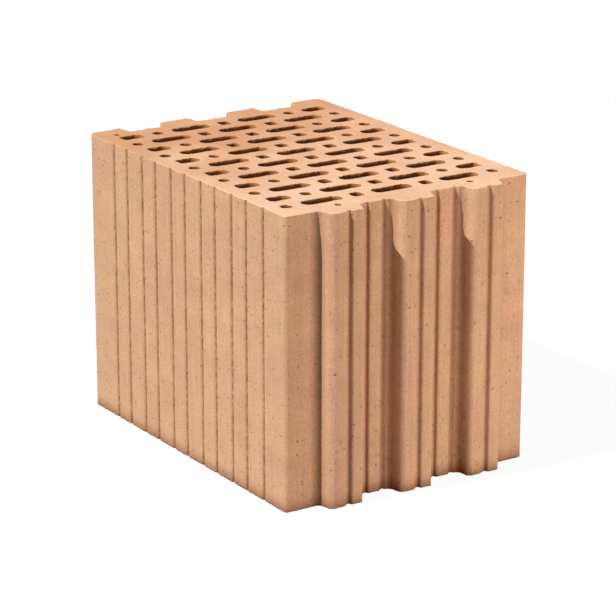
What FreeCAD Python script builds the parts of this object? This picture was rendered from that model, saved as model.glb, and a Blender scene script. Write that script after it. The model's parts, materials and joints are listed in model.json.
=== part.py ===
# Hollow clay block: one piece of clay, extruded through a die, cut to height by a wire, fired and
# ground flat on its two bed faces. X runs across the wall, Y along it and Z up the extruded holes.
import FreeCAD, Part
import math
import os

# Body, in millimetres, measured between the lands of the two head faces; a corner with a radius below
# the smallest arc is eased by a flat
block_width = 240.0
body_length = 318.0
block_height = 249.0
corner_radii = {"front left": 3.2, "front right": 7.0, "back right": 7.0, "back left": 7.0}
smallest_arc = 2.5

# Tongues of the front head face; the left flank of each leans by its own amount
left_leans = (3.0, 2.5, 1.5)
right_lean = 5.0
tongue_pitch = 68.6
tongue_row_shift = -0.75
tongue_width = 30.8
tongue_depth = 13.5
tongue_radius = 5.5
edge_radius = 1.2
crevice_radius = 0.5
foot_radius = 2.0

# Notches in the lands between the tongues: each deepens over its run to a steep step, and a flat web parts
# it from the foot of the tongue, the heel at the tongue's left and the toe at its right
notch_depth = 3.0
heel_run = 4.2
heel_step = 1.7
heel_web = 3.8
toe_run = 5.7
toe_step = 1.0
toe_web = 2.8

# Flute down the face of each tongue, a deeper notch of the same form
flute_start = 12.7
flute_run = 6.3
flute_step = 1.2
flute_depth = 3.5
flute_radius = 4.0

# Ridge beside each groove of the back head face, and the play of a tongue in its groove
ridge_width = 6.0
ridge_height = 1.5
seat_play = 0.5
flank_play = 1.0

# Scoring on the two long faces: pairs of shallow grooves
score_start = 33.5
score_period = 48.0
score_gap = 25.9
score_width = 4.6
score_depth = 2.0
score_radius = 1.0

# Holes: staggered slots, with a small hole between each two, square in the inner columns
column_pitch = 33.75
column_shift = -1.0
row_pitch = 23.6
slot_length = 37.3
slot_width = 12.0
side_wall = 15.8
front_web = 19.8
back_web = 11.0
half_slot_radius = 2.0
square_hole_width = 10.0
square_hole_length = 10.5
square_hole_radius = 1.5
square_columns = 1
round_hole_diameter = 9.4

# Small die holes: two behind the outer tongues and one in a back corner, beside the first groove
die_hole_diameter = 5.2
die_hole_spacing = 129.6
die_hole_setback = 8.0
corner_hole_web = 9.7
corner_hole_setback = 18.5

half_width = block_width / 2
overall_length = tongue_depth + body_length + ridge_height
front_land = tongue_depth - overall_length / 2
back_land = front_land + body_length
groove_depth = tongue_depth + seat_play
tongue_count = len(left_leans)


def rounded_wire(corners):
    """Closed wire through (x, y, radius) corners, each rounded by an arc, or eased by a flat if small."""
    points = [FreeCAD.Vector(x, y, 0) for x, y, radius in corners]
    bends = []
    for index, (x, y, radius) in enumerate(corners):
        corner = points[index]
        to_last = points[index - 1] - corner
        to_next = points[(index + 1) % len(points)] - corner
        half_angle = to_last.getAngle(to_next) / 2
        run = min(radius / math.tan(half_angle), to_last.Length / 2, to_next.Length / 2)
        reach = run / math.cos(half_angle) - run * math.tan(half_angle)
        to_last.normalize()
        to_next.normalize()
        inward = (to_last + to_next).normalize()
        bends.append((corner + to_last * run, corner + inward * reach, corner + to_next * run, radius))
    edges = []
    for index, (start, middle, end, radius) in enumerate(bends):
        last_end = bends[index - 1][2]
        if not last_end.isEqual(start, Part.Precision.confusion()):
            edges.append(Part.LineSegment(last_end, start).toShape())
        if radius >= smallest_arc:
            edges.append(Part.Arc(start, middle, end).toShape())
        elif radius > 0:
            edges.append(Part.LineSegment(start, end).toShape())
    return Part.Wire(edges)


def tongue_left(index):
    """Left end of a tongue's face, counted from the left."""
    middle = tongue_row_shift + (index - (tongue_count - 1) / 2) * tongue_pitch
    return middle - tongue_width / 2


def notch_corners(start, level, run, step, depth, start_radius):
    """Corners of a notch that deepens over its run and ends in a steep step, left to right."""
    bottom = start + run
    return [
        (start, level, start_radius),
        (bottom, level + depth, crevice_radius),
        (bottom + step, level, edge_radius),
    ]


def tongue_corners(index):
    """Corners of one tongue with its flute and the notches beside its feet, left to right.

    The outermost tongues rise straight from the lands of the block's corners, without a notch there.
    """
    left = tongue_left(index)
    right = left + tongue_width
    foot_left = left - left_leans[index]
    foot_right = right + right_lean
    face = front_land - tongue_depth
    corners = []
    if index > 0:
        heel = foot_left - heel_web - heel_step - heel_run
        corners += notch_corners(heel, front_land, heel_run, heel_step, notch_depth, edge_radius)
    corners += [(foot_left, front_land, foot_radius), (left, face, tongue_radius)]
    corners += notch_corners(left + flute_start, face, flute_run, flute_step, flute_depth, flute_radius)
    corners += [(right, face, edge_radius), (foot_right, front_land, foot_radius)]
    if index < tongue_count - 1:
        corners += notch_corners(foot_right + toe_web, front_land, toe_run, toe_step, notch_depth, edge_radius)
    return corners


def groove_mouth(index):
    """Left edge of the mouth of the groove that takes one tongue."""
    return tongue_left(index) - left_leans[index] - flank_play


def groove_corners(index):
    """Corners of the groove that takes one tongue, with the ridge at its left, left to right."""
    left = tongue_left(index)
    right = left + tongue_width + flank_play
    mouth = groove_mouth(index)
    ridge = back_land + ridge_height
    floor = back_land - groove_depth
    bump_end = left + flute_start + flute_run + flute_step - flank_play
    return [
        (mouth - ridge_width, back_land, edge_radius),
        (mouth - ridge_width + ridge_height, ridge, edge_radius),
        (mouth, ridge, edge_radius),
        (left - flank_play, floor, foot_radius),
        (left + flute_start, floor, flute_radius),
        (bump_end - flute_step, floor + flute_depth - seat_play, edge_radius),
        (bump_end, floor, edge_radius),
        (right, floor, foot_radius),
        (right + right_lean, back_land, edge_radius),
    ]


def score_corners(side):
    """Corners of the scoring grooves down one long face, front to back."""
    first = front_land + score_start
    pairs = int((body_length - 2 * score_start) / score_period)
    middles = [first + pair * score_period + half * score_gap for pair in range(pairs) for half in (0, 1)]
    middles.append(first + pairs * score_period)
    corners = []
    for middle in middles:
        corners.append((side * half_width, middle - score_width / 2, 0))
        corners.append((side * (half_width - score_depth), middle, score_radius))
        corners.append((side * half_width, middle + score_width / 2, 0))
    return corners


def block_outline():
    """Outer wire of the block's section, anticlockwise from the front left corner."""
    front = [corner for index in range(tongue_count) for corner in tongue_corners(index)]
    back = [corner for index in range(tongue_count) for corner in groove_corners(index)]
    corners = [(-half_width, front_land, corner_radii["front left"])]
    corners += front
    corners.append((half_width, front_land, corner_radii["front right"]))
    corners += score_corners(1)
    corners.append((half_width, back_land, corner_radii["back right"]))
    corners += reversed(back)
    corners.append((-half_width, back_land, corner_radii["back left"]))
    corners += reversed(score_corners(-1))
    return rounded_wire(corners)


def slot_wire(middle_x, middle_y):
    """Slot with round ends, cut off flat where it would reach into the side wall."""
    wall = half_width - side_wall
    low = max(middle_x - slot_length / 2, -wall)
    high = min(middle_x + slot_length / 2, wall)
    low_radius = half_slot_radius if low == -wall else slot_width / 2
    high_radius = half_slot_radius if high == wall else slot_width / 2
    near = middle_y - slot_width / 2
    far = middle_y + slot_width / 2
    return rounded_wire([
        (low, near, low_radius), (high, near, high_radius), (high, far, high_radius), (low, far, low_radius)])


def square_hole_wire(middle_x, middle_y):
    """Small four-cornered hole with eased corners."""
    left = middle_x - square_hole_width / 2
    right = middle_x + square_hole_width / 2
    near = middle_y - square_hole_length / 2
    far = middle_y + square_hole_length / 2
    return rounded_wire([(x, y, square_hole_radius)
                         for x, y in ((left, near), (right, near), (right, far), (left, far))])


def round_hole_wire(middle_x, middle_y, diameter):
    """Small round hole."""
    return Part.Wire(Part.makeCircle(diameter / 2, FreeCAD.Vector(middle_x, middle_y, 0)))


def staggered_hole_wires():
    """All slots and the small holes between them, row by row from the front."""
    first_row = front_land + front_web + slot_width / 2
    last_row = back_land - groove_depth - back_web - slot_width / 2
    row_count = 1 + int((last_row - first_row) / row_pitch)
    column_reach = int((half_width - side_wall) / column_pitch)
    wires = []
    for row in range(row_count):
        y = first_row + row * row_pitch
        for column in range(-column_reach, column_reach + 1):
            x = column_shift + column * column_pitch
            if (row + column) % 2 == 0:
                wires.append(slot_wire(x, y))
            elif abs(column) <= square_columns:
                wires.append(square_hole_wire(x, y))
            else:
                wires.append(round_hole_wire(x, y, round_hole_diameter))
    return wires


def die_hole_wires():
    """Small holes left by the pins of the die near the two head faces."""
    places = [(side * die_hole_spacing / 2, front_land + die_hole_setback) for side in (-1, 1)]
    corner_hole_x = groove_mouth(0) - corner_hole_web - die_hole_diameter / 2
    places.append((corner_hole_x, back_land - corner_hole_setback))
    return [round_hole_wire(x, y, die_hole_diameter) for x, y in places]


wires = [block_outline()] + staggered_hole_wires() + die_hole_wires()
section = Part.makeFace(wires, "Part::FaceMakerBullseye")
block = section.extrude(FreeCAD.Vector(0, 0, block_height))
os.makedirs("parts", exist_ok=True)
block.exportStep("parts/hollow_clay_block.step")
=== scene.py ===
import bpy
import json
import math
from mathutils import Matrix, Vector

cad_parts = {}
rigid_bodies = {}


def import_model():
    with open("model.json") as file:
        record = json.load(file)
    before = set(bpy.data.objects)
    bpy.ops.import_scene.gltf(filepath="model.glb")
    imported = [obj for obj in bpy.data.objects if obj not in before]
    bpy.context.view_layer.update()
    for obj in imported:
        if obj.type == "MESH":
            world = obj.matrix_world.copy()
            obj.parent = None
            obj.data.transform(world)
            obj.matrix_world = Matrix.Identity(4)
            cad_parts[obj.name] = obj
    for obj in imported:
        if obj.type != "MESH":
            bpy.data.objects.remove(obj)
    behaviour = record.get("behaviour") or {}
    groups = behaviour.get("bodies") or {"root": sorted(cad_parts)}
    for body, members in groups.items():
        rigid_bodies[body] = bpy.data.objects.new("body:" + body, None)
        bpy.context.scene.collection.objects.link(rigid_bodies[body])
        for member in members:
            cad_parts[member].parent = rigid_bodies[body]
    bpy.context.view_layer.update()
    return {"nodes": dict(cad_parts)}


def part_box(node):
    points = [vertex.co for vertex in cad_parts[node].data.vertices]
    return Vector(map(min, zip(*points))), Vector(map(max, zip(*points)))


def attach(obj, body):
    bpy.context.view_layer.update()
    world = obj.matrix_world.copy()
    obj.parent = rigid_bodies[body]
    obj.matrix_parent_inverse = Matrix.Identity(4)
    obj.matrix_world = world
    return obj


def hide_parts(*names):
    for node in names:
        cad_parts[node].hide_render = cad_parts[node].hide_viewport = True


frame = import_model()


# The clay block: one piece of clay, pushed through a die, cut to height by a wire, fired, and ground on its
# two bed faces. The rim of its section is divided finely and drawn down again, so that the skin of the
# block can be worked.
mm = 0.001
near = 0.01 * mm
base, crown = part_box("hollow_clay_block")
outline_spacing = 2.6 * mm
hole_spacing = 1.6 * mm
hole_arc_spacing = 1.1 * mm
rim_radius = 0.5 * mm
rim_margin = 0.6 * mm

# Run and rise of the two facets of a rim, as shares of its radius
rim_facets = ((0.3, 0.7), (0.7, 0.3))

# Least Z of the normal of a face that counts as level
level_normal = 0.9

bpy.ops.object.select_all(action="DESELECT")
block = bpy.data.objects.new("clay_block", frame["nodes"]["hollow_clay_block"].data.copy())
block.data.materials.clear()
bpy.context.scene.collection.objects.link(block)
bpy.context.view_layer.objects.active = block
block.select_set(True)


def choose(elements, wanted):
    """Selects the wanted ones of the block's vertices, edges or polygons, and says how many they are."""
    bpy.ops.object.mode_set(mode="EDIT")
    bpy.ops.mesh.select_mode(type={"vertices": "VERT", "edges": "EDGE", "polygons": "FACE"}[elements])
    bpy.ops.mesh.select_all(action="DESELECT")
    bpy.ops.object.mode_set(mode="OBJECT")
    count = 0
    for element in getattr(block.data, elements):
        element.select = wanted(element)
        count += element.select
    bpy.ops.object.mode_set(mode="EDIT")
    return count


# The section: only the rims of the upper bed face are kept, those of the outline and of all holes
bpy.ops.object.mode_set(mode="EDIT")
bpy.ops.mesh.select_all(action="SELECT")
bpy.ops.mesh.remove_doubles(threshold=near)
choose("polygons", lambda face: face.normal.z < level_normal)
bpy.ops.mesh.delete(type="FACE")
bpy.ops.mesh.select_all(action="SELECT")
bpy.ops.mesh.region_to_loop()
bpy.ops.mesh.select_all(action="INVERT")
bpy.ops.mesh.delete(type="EDGE_FACE")

choose("vertices", lambda vertex: vertex.co.x < base.x + near)
bpy.ops.mesh.select_linked()
bpy.ops.object.vertex_group_assign_new()
block.vertex_groups.active.name = "skin"
bpy.ops.mesh.select_all(action="INVERT")
bpy.ops.mesh.remove_doubles(threshold=hole_arc_spacing)


def ends(edge):
    """The two vertices of an edge of the block."""
    return [block.data.vertices[index] for index in edge.vertices]


def length(edge):
    """Length of an edge of the block."""
    start, end = ends(edge)
    return (end.co - start.co).length


def in_group(vertex, name):
    """Whether a vertex of the block is in a vertex group."""
    return any(block.vertex_groups[member.group].name == name for member in vertex.groups)


def on_skin(edge):
    """Whether an edge is on the outline and not on the rim of a hole."""
    return all(in_group(end, "skin") for end in ends(edge))


def cuts_needed(edge):
    """How many cuts divide an edge into stretches that are short enough."""
    return int(length(edge) / (outline_spacing if on_skin(edge) else hole_spacing))


bpy.ops.object.mode_set(mode="OBJECT")
most_cuts = max(cuts_needed(edge) for edge in block.data.edges)
for cuts in range(most_cuts, 0, -1):
    if choose("edges", lambda edge: cuts_needed(edge) == cuts):
        bpy.ops.mesh.subdivide(number_cuts=cuts)

# The walls: rings lie close together below each bed face, where the rim wears, and evenly between
ring_depths = (0.0, 0.9 * mm, 2.2 * mm, 5.0 * mm)
skin_cuts = 48
wall_height = crown.z - base.z - 2 * rim_radius
rings = list(ring_depths) + [wall_height - depth for depth in reversed(ring_depths)]

bpy.ops.mesh.select_all(action="SELECT")
bpy.ops.transform.translate(value=(0, 0, -rim_radius))
for upper, lower in zip(rings, rings[1:]):
    bpy.ops.mesh.extrude_edges_move(TRANSFORM_OT_translate={"value": (0, 0, upper - lower)})
choose("edges", lambda edge: length(edge) > wall_height / 2 and on_skin(edge))
bpy.ops.mesh.subdivide(number_cuts=skin_cuts)

# The two bed faces, with a worn rim round the outline and round each hole: two facets and a flat margin
for level in (crown.z - rim_radius, base.z + rim_radius):
    choose("edges", lambda edge: all(abs(end.co.z - level) < near for end in ends(edge)))
    bpy.ops.mesh.fill(use_beauty=True)
bpy.ops.mesh.select_all(action="SELECT")
bpy.ops.mesh.normals_make_consistent(inside=False)
choose("polygons", lambda face: abs(face.normal.z) > level_normal)
for run, rise in rim_facets:
    bpy.ops.mesh.inset(thickness=run * rim_radius, depth=rise * rim_radius, use_even_offset=False)
bpy.ops.mesh.inset(thickness=rim_margin, use_even_offset=False)
bpy.ops.object.vertex_group_assign_new()
block.vertex_groups.active.name = "bed_faces"
bpy.ops.object.mode_set(mode="OBJECT")


# The worked skin: the die drags the clay in long upright waves, the holes come out a little crooked, and
# crumbs break off the rims under the cutting wire. The outer walls only give way inwards, so the block
# keeps its size.
crease_angle = math.radians(38)
flat_normal = 0.99
skin_finish, bed_finish, hole_shade_finish = range(3)


def lies_in(face, name):
    """Whether all corners of a face of the block are in a vertex group."""
    return all(in_group(block.data.vertices[index], name) for index in face.vertices)


for face in block.data.polygons:
    if abs(face.normal.z) > level_normal or lies_in(face, "bed_faces"):
        face.material_index = bed_finish
    elif lies_in(face, "skin"):
        face.material_index = skin_finish
    # The walls of the holes take the finish that is darkened with painted shade.
    else:
        face.material_index = hole_shade_finish


def press(name, wanted, size, rise, reach, direction, rest, contrast):
    """Moves the wanted vertices of the block by clouds of a size, drawn out upwards by a rise."""
    choose("vertices", wanted)
    bpy.ops.object.vertex_group_assign_new()
    block.vertex_groups.active.name = name
    bpy.ops.object.mode_set(mode="OBJECT")
    bpy.ops.object.empty_add(location=(size * len(block.vertex_groups), 0, 0))
    ruler = bpy.context.object
    ruler.scale = (size, size, size * rise)
    clouds = bpy.data.textures.new(name, "CLOUDS")
    clouds.noise_scale = 1.0
    clouds.contrast = contrast
    bpy.context.view_layer.objects.active = block
    wave = block.modifiers.new(name, "DISPLACE")
    wave.texture = clouds
    wave.texture_coords = "OBJECT"
    wave.texture_coords_object = ruler
    wave.vertex_group = name
    wave.direction = direction
    wave.mid_level = rest
    wave.strength = reach
    bpy.ops.object.modifier_apply(modifier=name)
    bpy.data.objects.remove(ruler)
    block.select_set(True)


def under_rims(vertex):
    """Whether a vertex is on a wall, below the upper rim and above the lower one."""
    return base.z + 2 * rim_radius < vertex.co.z < crown.z - 2 * rim_radius


def on_outer_wall(vertex):
    """Whether a vertex is on the outer skin, away from the rims."""
    return in_group(vertex, "skin") and under_rims(vertex)


def round_a_hole(vertex):
    """Whether a vertex is on the wall of a hole, on its rims or on the margins round them."""
    return not in_group(vertex, "skin")


def on_a_rim(vertex):
    """Whether a vertex is on the rounded rim of a bed face."""
    return not under_rims(vertex) and not in_group(vertex, "bed_faces")


press("drawn_waves", on_outer_wall, size=14 * mm, rise=9, reach=-0.5 * mm,
      direction="NORMAL", rest=0.0, contrast=1.0)
press("crooked_across", round_a_hole, size=6 * mm, rise=8, reach=1.0 * mm,
      direction="X", rest=0.5, contrast=1.0)
press("crooked_along", round_a_hole, size=6 * mm, rise=8, reach=1.0 * mm,
      direction="Y", rest=0.5, contrast=1.0)
press("crumbled_rims", on_a_rim, size=3 * mm, rise=1, reach=-0.6 * mm,
      direction="NORMAL", rest=0.0, contrast=2.5)
for vertex in block.data.vertices:
    vertex.co = [min(max(value, low), high) for value, low, high in zip(vertex.co, base, crown)]
bpy.ops.object.shade_smooth_by_angle(angle=crease_angle)
choose("polygons", lambda face: abs(face.normal.z) > flat_normal or lies_in(face, "bed_faces"))
bpy.ops.mesh.faces_shade_flat()
bpy.ops.object.mode_set(mode="OBJECT")


# The clay's three finishes, all of them dull fired clay: the walls as the die drew them, the ground bed
# faces, and the walls of the holes. Each has painted shade: deep brown in hollows, with little open air
# near.
painted_shade_brown = "#7E431A"
hollow_reach = 14 * mm
hollow_air = 0.3
clear_air = 0.94
clay_roughness = 0.92
clay_specular = 0.2


def linear(colour):
    """Linear colour, with full alpha, of an sRGB hex value."""
    parts = [int(colour[place:place + 2], 16) / 255 for place in (1, 3, 5)]
    return [part / 12.92 if part <= 0.04045 else ((part + 0.055) / 1.055) ** 2.4 for part in parts] + [1]


def add(material, kind, settings, links):
    """Adds a node: settings go to its properties or inputs, links lead outputs to its inputs."""
    node = material.node_tree.nodes.new("ShaderNode" + kind)
    for name, value in settings.items():
        if isinstance(name, int) or name in node.inputs:
            node.inputs[name].default_value = value
        else:
            setattr(node, name, value)
    for name, output in links.items():
        material.node_tree.links.new(output, node.inputs[name])
    return node


def clouded(material, place, size, low, high):
    """Value that drifts between two limits over clouds of a size along X, Y and Z, in metres."""
    stretched = add(material, "Mapping", {"Scale": [1 / side for side in size]}, {"Vector": place})
    clouds = add(material, "TexNoise", {"Scale": 1.0, "Detail": 3.0}, {"Vector": stretched.outputs[0]})
    drift = add(material, "MapRange", {"From Min": 0.3, "From Max": 0.7, "To Min": low, "To Max": high},
                {"Value": clouds.outputs["Fac"]})
    return drift.outputs[0]


def pitted(material, place, spacing, radius, depth):
    """Value that is 1 on the clay and falls to a depth in scattered round pits of up to a radius."""
    scarcity = 2.0
    soft_edge = 0.4 * radius / spacing
    spread = add(material, "Mapping", {"Scale": [1 / spacing] * 3}, {"Vector": place})
    cells = add(material, "TexVoronoi", {"Scale": 1.0}, {"Vector": spread.outputs[0]})
    chance = add(material, "SeparateColor", {}, {"Color": cells.outputs["Color"]})
    rarity = add(material, "Math", {"operation": "POWER", 1: scarcity}, {0: chance.outputs[0]})
    reach = add(material, "Math", {"operation": "MULTIPLY", 1: radius / spacing}, {0: rarity.outputs[0]})
    inside = add(material, "Math", {"operation": "SUBTRACT"},
                 {0: reach.outputs[0], 1: cells.outputs["Distance"]})
    pit = add(material, "MapRange", {"From Max": soft_edge, "To Min": 1.0, "To Max": depth},
              {"Value": inside.outputs[0]})
    return pit.outputs[0]


def fired(material, tint, shades, relief):
    """Gives a material its tint, darkened by shades and by painted shade in hollows, and a relief from its
    shades.
    """
    shade = shades[0]
    for other in shades[1:]:
        shade = add(material, "Math", {"operation": "MULTIPLY"}, {0: shade, 1: other}).outputs[0]
    # Painted shade: the tint turns deep brown where ambient occlusion finds little open air near.
    open_air = add(material, "AmbientOcclusion", {"Distance": hollow_reach, "samples": 8}, {})
    unshaded_share = add(material, "MapRange", {"From Min": hollow_air, "From Max": clear_air},
                {"Value": open_air.outputs["AO"]})
    tint = add(material, "MixRGB", {"Color1": linear(painted_shade_brown)}, {"Fac": unshaded_share.outputs[0], "Color2": tint})
    colour = add(material, "VectorMath", {"operation": "SCALE"}, {0: tint.outputs[0], "Scale": shade})
    bump = add(material, "Bump", {"Distance": relief}, {"Height": shade})
    shader = material.node_tree.nodes["Principled BSDF"]
    material.node_tree.links.new(colour.outputs[0], shader.inputs["Base Color"])
    material.node_tree.links.new(bump.outputs[0], shader.inputs["Normal"])
    shader.inputs["Specular IOR Level"].default_value = clay_specular
    shader.inputs["Roughness"].default_value = clay_roughness


# Drawn skin of the walls: tan to pink as the fire took it, streaked upwards by the die, with painted shade
# in brown patches in the scores of the long faces, and with pits where grit or sawdust burnt out. Its grain
# is drawn coarser than real grit, so that it shows.
score_shallow = 0.45 * mm
score_deep = 1.2 * mm
scored_length = 280 * mm
skin = bpy.data.materials.new("extruded_fired_clay")
skin.use_nodes = True
place = add(skin, "TexCoord", {}, {}).outputs["Object"]
apart = add(skin, "SeparateXYZ", {}, {"Vector": place})
across = add(skin, "Math", {"operation": "ABSOLUTE"}, {0: apart.outputs["X"]})
sunk = add(skin, "MapRange", {"From Min": crown.x - score_shallow, "From Max": crown.x - score_deep},
           {"Value": across.outputs[0]})
along = add(skin, "Math", {"operation": "ABSOLUTE"}, {0: apart.outputs["Y"]})
sides = add(skin, "Math", {"operation": "LESS_THAN", 1: scored_length / 2}, {0: along.outputs[0]})
scored = add(skin, "Math", {"operation": "MULTIPLY"}, {0: sunk.outputs[0], 1: sides.outputs[0]})
score_patches = clouded(skin, place, (2.0 * mm, 2.0 * mm, 4.0 * mm), 0.15, 0.85)
score_painted_shade = add(skin, "Math", {"operation": "MULTIPLY"}, {0: scored.outputs[0], 1: score_patches})
tint = add(skin, "MixRGB", {"Color1": linear("#D7B092"), "Color2": linear("#D7AB8F")},
           {"Fac": clouded(skin, place, (38 * mm, 38 * mm, 50 * mm), 0.0, 1.0)})
tint = add(skin, "MixRGB", {"Color2": linear("#DAB48F")},
           {"Fac": clouded(skin, place, (55 * mm, 70 * mm, 45 * mm), -0.5, 1.0), "Color1": tint.outputs[0]})
# Painted shade: the bottoms of the scores are mixed towards brown, in patches, standing in for their shade.
tint = add(skin, "MixRGB", {"Color2": linear("#85532B")},
           {"Fac": score_painted_shade.outputs[0], "Color1": tint.outputs[0]})
mottling = clouded(skin, place, (25 * mm, 25 * mm, 18 * mm), 0.94, 1.06)
streaks = clouded(skin, place, (2.4 * mm, 2.4 * mm, 60 * mm), 0.945, 1.055)
grain = clouded(skin, place, (1.6 * mm, 1.6 * mm, 2.0 * mm), 0.89, 1.11)
fine_pits = pitted(skin, place, spacing=4 * mm, radius=1.2 * mm, depth=0.6)
coarse_pits = pitted(skin, place, spacing=9 * mm, radius=1.5 * mm, depth=0.45)
fired(skin, tint.outputs[0], (mottling, streaks, grain, fine_pits, coarse_pits), relief=0.6 * mm)

# Ground bed faces: grinding opened the paler clay within, which shows its grain and a few small pits and
# turns warmer from the tongues towards the grooves.
pale_end = -120 * mm
warm_end = 160 * mm
ground = bpy.data.materials.new("ground_fired_clay")
ground.use_nodes = True
place = add(ground, "TexCoord", {}, {}).outputs["Object"]
apart = add(ground, "SeparateXYZ", {}, {"Vector": place})
turning = add(ground, "MapRange",
              {"From Min": pale_end, "From Max": warm_end, "To Min": -0.2, "To Max": 0.8},
              {"Value": apart.outputs["Y"]})
warmth = add(ground, "Math", {"operation": "ADD", "use_clamp": True},
             {0: turning.outputs[0], 1: clouded(ground, place, (60 * mm, 60 * mm, 60 * mm), 0.0, 0.6)})
tint = add(ground, "MixRGB", {"Color1": linear("#F0CAAE"), "Color2": linear("#D4A27E")},
           {"Fac": warmth.outputs[0]})
mottling = clouded(ground, place, (40 * mm, 50 * mm, 40 * mm), 0.97, 1.03)
grain = clouded(ground, place, (2.0 * mm, 2.0 * mm, 2.0 * mm), 0.93, 1.07)
fine_pits = pitted(ground, place, spacing=5 * mm, radius=1.0 * mm, depth=0.75)
fired(ground, tint.outputs[0], (mottling, grain, fine_pits), relief=0.5 * mm)

# Walls of the holes: drawn by the cores of the die and streaked upwards, and tinted a deeper orange brown
# than the outer skin as painted shade in the holes.
hole_painted_shade = bpy.data.materials.new("hole_wall_clay_painted_shade")
hole_painted_shade.use_nodes = True
place = add(hole_painted_shade, "TexCoord", {}, {}).outputs["Object"]
# Painted shade: the hole walls' tint is darker and browner than the skin's, standing in for the shade in the
# holes.
tint = add(hole_painted_shade, "MixRGB", {"Color1": linear("#D49A61"), "Color2": linear("#CA8F56")},
           {"Fac": clouded(hole_painted_shade, place, (20 * mm, 20 * mm, 40 * mm), 0.0, 1.0)})
streaks = clouded(hole_painted_shade, place, (2.4 * mm, 2.4 * mm, 60 * mm), 0.93, 1.07)
grain = clouded(hole_painted_shade, place, (1.6 * mm, 1.6 * mm, 2.0 * mm), 0.91, 1.09)
fired(hole_painted_shade, tint.outputs[0], (streaks, grain), relief=0.6 * mm)

finishes = {skin_finish: skin, bed_finish: ground, hole_shade_finish: hole_painted_shade}
for finish in sorted(finishes):
    block.data.materials.append(finishes[finish])

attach(block, "root")
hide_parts("hollow_clay_block")


# The pale floor that the block stands on. It meets the white surroundings without an edge and keeps a faint
# shadow, because most of what the camera sees of it is its own even white.
floor_width = 8.0
even_share = 0.96
bpy.ops.object.select_all(action="DESELECT")
bpy.ops.mesh.primitive_plane_add(size=floor_width, location=(0, 0, base.z))
floor = bpy.context.object
floor.name = "floor"
paper = bpy.data.materials.new("matt_white_paper")
paper.use_nodes = True
paper.node_tree.nodes.clear()
sight = add(paper, "LightPath", {}, {})
tone = add(paper, "MixRGB", {"Color1": linear("#8F8A84"), "Color2": linear("#FFFFFF")},
           {"Fac": sight.outputs["Is Camera Ray"]})
shaded = add(paper, "BsdfDiffuse", {}, {"Color": tone.outputs[0]})
even = add(paper, "Emission", {"Color": linear("#FFFFFF"), "Strength": 1.0}, {})
evenness = add(paper, "Math", {"operation": "MULTIPLY", 1: even_share}, {0: sight.outputs["Is Camera Ray"]})
both = add(paper, "MixShader", {}, {"Fac": evenness.outputs[0], 1: shaded.outputs[0], 2: even.outputs[0]})
add(paper, "OutputMaterial", {}, {"Surface": both.outputs[0]})
floor.data.materials.append(paper)


# The light: a key lamp high on the left and a little behind, which lights the scored face, the upper bed
# face and the left flanks of the tongues, two warm boards at the front right and the back right, and a
# white room.
key_towards = (-1.0, 0.09, 1.26)
key_power = 1.31 * math.pi
key_spread = math.radians(1.0)
board_places = {"front_board": (0.27, -0.73, -0.07), "back_board": (0.75, 0.8, 0.0)}
board_powers = {"front_board": 3.95, "back_board": 8.0}
board_width = 0.4
board_height = 0.2
warm_white = "#FFEEDF"
room_glow = 0.1


def lamp(name, kind, towards, power, colour):
    """Adds a lamp that shines on the block from a direction."""
    data = bpy.data.lights.new(name, kind)
    data.energy = power
    data.color = linear(colour)[:3]
    made = bpy.data.objects.new(name, data)
    made.rotation_euler = Vector(towards).to_track_quat("Z", "Y").to_euler()
    bpy.context.scene.collection.objects.link(made)
    return made


middle = (base + crown) / 2
key = lamp("key", "SUN", key_towards, key_power, "#FFFAF2")
key.data.angle = key_spread
for name, place in board_places.items():
    board = lamp(name, "AREA", place, board_powers[name], warm_white)
    board.location = middle + Vector(place)
    board.data.shape = "RECTANGLE"
    board.data.size = board_width
    board.data.size_y = board_height
    board.visible_camera = False

room = bpy.data.worlds.new("white_room")
room.use_nodes = True
room.node_tree.nodes.clear()
sight = add(room, "LightPath", {}, {})
seen = add(room, "Math", {"operation": "MAXIMUM"},
           {0: sight.outputs["Is Camera Ray"], 1: sight.outputs["Is Glossy Ray"]})
seen = add(room, "Math", {"operation": "MAXIMUM"},
           {0: seen.outputs[0], 1: sight.outputs["Is Transmission Ray"]})
glow = add(room, "Background", {"Color": linear(warm_white), "Strength": room_glow}, {})
white = add(room, "Background", {"Color": linear("#FFFFFF"), "Strength": 1.0}, {})
both = add(room, "MixShader", {}, {"Fac": seen.outputs[0], 1: glow.outputs[0], 2: white.outputs[0]})
add(room, "OutputWorld", {}, {"Surface": both.outputs[0]})
bpy.context.scene.world = room
bpy.context.scene.view_settings.view_transform = "Standard"


# The camera stands before the block's near left corner, a little above it and far off, and looks at the
# block through a long lens.
turn = math.radians(-33.04)
rise = math.radians(17.70)
distance = 2.466
aim = Vector((0.0055, 0.007, 0.1098))
away = Vector((math.sin(turn) * math.cos(rise), -math.cos(turn) * math.cos(rise), math.sin(rise)))
lens = bpy.data.cameras.new("camera")
lens.sensor_width = 36.0
lens.lens = 166.9
camera = bpy.data.objects.new("camera", lens)
camera.location = aim + distance * away
camera.rotation_euler = away.to_track_quat("Z", "Y").to_euler()
bpy.context.scene.collection.objects.link(camera)
bpy.context.scene.camera = camera
